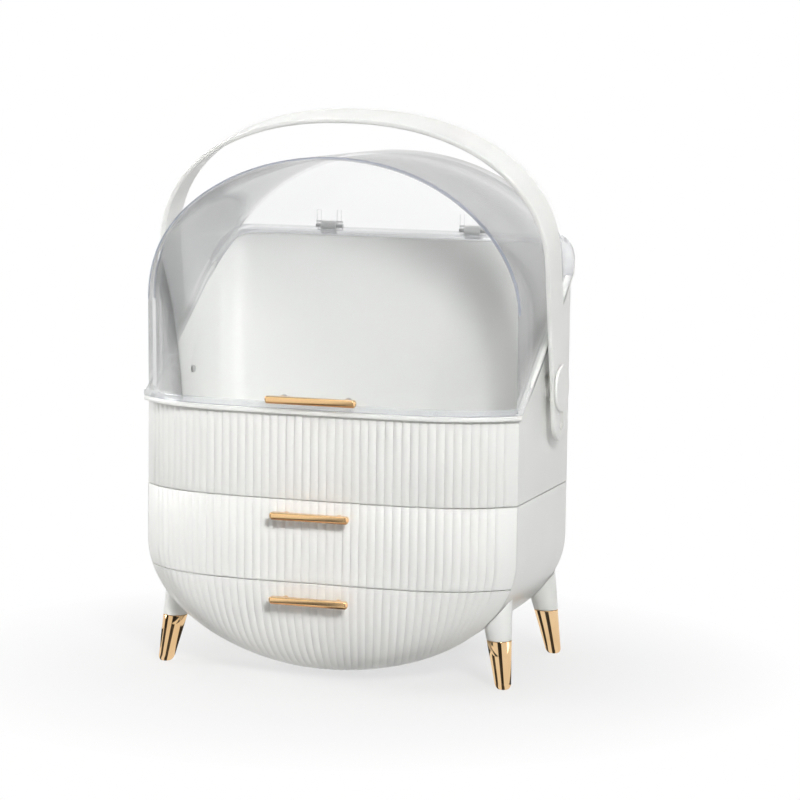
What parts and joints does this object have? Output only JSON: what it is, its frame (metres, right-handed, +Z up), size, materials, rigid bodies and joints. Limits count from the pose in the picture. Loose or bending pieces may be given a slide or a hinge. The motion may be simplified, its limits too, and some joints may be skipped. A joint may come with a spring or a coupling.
{
  "type": "makeup organizer with drawers",
  "caption": "Egg-shaped tabletop organizer: reeded drawers under a deep tray, clear hinged lid, arched carry handle, bar pulls and tapered feet.",
  "frame": {"origin": "on the floor, under the middle of the overall box", "axes": "+X to the right seen from the front, -Y towards the drawer pulls, +Z up"},
  "size_m": [0.275, 0.1836, 0.3699],
  "materials": {
    "white_plastic": "smooth warm white moulded plastic",
    "clear_plastic": "clear moulded plastic",
    "gold_metal": "satin rose gold plating",
    "steel": "plain steel"
  },
  "bodies": {
    "cabinet": {"cabinet_shell": "white_plastic", "upper_tray": "white_plastic", "leg_front_left": "white_plastic", "leg_front_right": "white_plastic", "leg_back_left": "white_plastic", "leg_back_right": "white_plastic", "foot_cap_front_left": "gold_metal", "foot_cap_front_right": "gold_metal", "foot_cap_back_left": "gold_metal", "foot_cap_back_right": "gold_metal"},
    "drawer_upper": {"drawer_upper_front": "white_plastic", "drawer_upper_bin": "white_plastic", "upper_pull": "gold_metal", "upper_pull_screw_left": "steel", "upper_pull_screw_right": "steel"},
    "drawer_lower": {"drawer_lower_front": "white_plastic", "drawer_lower_bin": "white_plastic", "lower_pull": "gold_metal", "lower_pull_screw_left": "steel", "lower_pull_screw_right": "steel"},
    "lid": {"lid_shell": "clear_plastic", "lid_pull": "gold_metal", "lid_pull_screw_left": "steel", "lid_pull_screw_right": "steel", "hinge_pin_left": "steel", "hinge_pin_right": "steel"},
    "handle_pivots": {"pivot_cap_left": "white_plastic", "pivot_cap_right": "white_plastic", "pivot_screw_left": "steel", "pivot_screw_right": "steel"},
    "handle": {"carry_handle": "white_plastic"}
  },
  "joints": [
    {"name": "lid_open", "type": "hinge", "parent": "cabinet", "child": "lid", "pos_m": [0, 0.08825, 0.286], "axis": [-1, 0, 0], "range_deg": [0, 85]},
    {"name": "drawer_upper_slide", "type": "slide", "parent": "cabinet", "child": "drawer_upper", "axis": [0, -1, 0], "range_m": [0, 0.11]},
    {"name": "drawer_lower_slide", "type": "slide", "parent": "cabinet", "child": "drawer_lower", "axis": [0, -1, 0], "range_m": [0, 0.11]},
    {"name": "handle_swing", "type": "hinge", "parent": "cabinet", "child": "handle_pivots", "pos_m": [0, 0.017, 0.19], "axis": [-1, 0, 0], "range_deg": [0, 110.5]},
    {"name": "handle_lift", "type": "slide", "parent": "handle_pivots", "child": "handle", "axis": [0, -0.2, 0.9798], "range_m": [0, 0.022]}
  ],
  "couplings": [
    {"joint": "handle_swing", "follows": "lid_open", "ratio": 1.3}
  ]
}
